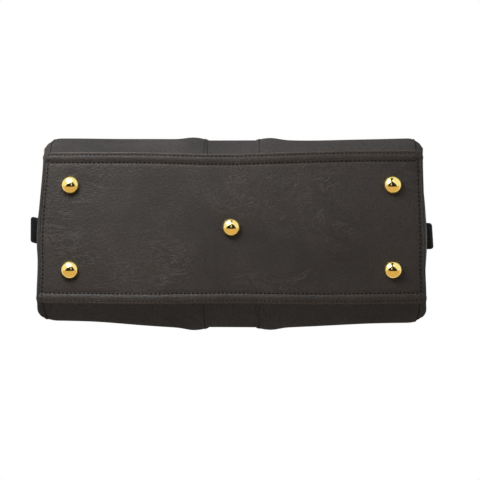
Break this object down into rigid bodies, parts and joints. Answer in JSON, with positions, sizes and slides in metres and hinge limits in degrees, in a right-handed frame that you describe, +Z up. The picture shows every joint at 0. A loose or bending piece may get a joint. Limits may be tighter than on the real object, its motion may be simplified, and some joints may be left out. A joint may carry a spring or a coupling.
{
  "type": "doctor bag",
  "caption": "Leather doctor bag on metal feet, with a hinged frame mouth, turn lock, two ringed handles and end loops.",
  "frame": {"origin": "on the ground under the middle foot, at the centre of the footprint", "axes": "+X along the bag to the right seen from the front, -Y towards the front (the lock's side), +Z up"},
  "size_m": [0.374, 0.166, 0.3402],
  "materials": {
    "base_leather": "pebbled, satin",
    "wall_leather": "pebbled, satin",
    "gusset_leather": "pebbled, satin",
    "trim_leather": "smooth, semi-gloss",
    "lining_cloth": "woven twill",
    "core": "twisted cord",
    "board": "pressed fibre board",
    "brass": "polished",
    "frame_metal": "polished plate",
    "steel": "zinc plated"
  },
  "bodies": {
    "root": {"base_panel": "base_leather", "base_board": "board", "feet": "brass", "hinge_pin_left": "brass", "hinge_pin_right": "brass", "hinge_washers": "brass", "end_loop_rivets": "brass", "foot_screws": "steel", "foot_washers": "steel", "hinge_stays": "steel", "front_panel_left": "wall_leather", "front_panel_right": "wall_leather", "back_panel_left": "wall_leather", "back_panel_right": "wall_leather", "front_band": "wall_leather", "back_band": "wall_leather", "gusset_left": "gusset_leather", "gusset_right": "gusset_leather", "end_loop_left": "trim_leather", "end_loop_right": "trim_leather", "lining": "lining_cloth", "inner_pocket": "lining_cloth"},
    "frame_front": {"frame_front": "frame_metal", "front_upper_panel_left": "wall_leather", "front_upper_panel_right": "wall_leather", "front_upper_band": "wall_leather", "front_binding": "wall_leather", "front_upper_lining": "lining_cloth", "front_chapes": "trim_leather", "front_chape_rivets": "brass", "lock_rosette": "brass", "front_wall_fold": "wall_leather", "gusset_wing_front_left": "gusset_leather", "gusset_wing_front_right": "gusset_leather"},
    "frame_back": {"frame_back": "frame_metal", "back_upper_panel_left": "wall_leather", "back_upper_panel_right": "wall_leather", "back_upper_band": "wall_leather", "back_binding": "wall_leather", "back_upper_lining": "lining_cloth", "back_chapes": "trim_leather", "back_chape_rivets": "brass", "lock_keeper": "brass", "back_wall_fold": "wall_leather", "gusset_wing_back_left": "gusset_leather", "gusset_wing_back_right": "gusset_leather"},
    "handle_front": {"handle_front": "trim_leather", "handle_core_front": "core", "handle_rings_front": "brass"},
    "handle_back": {"handle_back": "trim_leather", "handle_core_back": "core", "handle_rings_back": "brass"},
    "lock_knob": {"lock_knob": "brass"}
  },
  "joints": [
    {"name": "frame_front_hinge", "type": "hinge", "parent": "root", "child": "frame_front", "pos_m": [0, 0, 0.145], "axis": [1, 0, 0], "range_deg": [0, 40], "deforming": ["front_wall_fold", "gusset_wing_front_left", "gusset_wing_front_right"]},
    {"name": "frame_back_hinge", "type": "hinge", "parent": "root", "child": "frame_back", "pos_m": [0, 0, 0.145], "axis": [-1, 0, 0], "range_deg": [0, 40], "deforming": ["back_wall_fold", "gusset_wing_back_left", "gusset_wing_back_right"]},
    {"name": "handle_front_swing", "type": "hinge", "parent": "frame_front", "child": "handle_front", "pos_m": [0, -0.01875, 0.236], "axis": [1, 0, 0], "range_deg": [0, 125]},
    {"name": "handle_back_swing", "type": "hinge", "parent": "frame_back", "child": "handle_back", "pos_m": [0, 0.01875, 0.236], "axis": [-1, 0, 0], "range_deg": [0, 125]},
    {"name": "lock_turn", "type": "hinge", "parent": "frame_front", "child": "lock_knob", "pos_m": [0, -0.0184, 0.23], "axis": [0, 1, 0], "range_deg": [0, 90]}
  ]
}
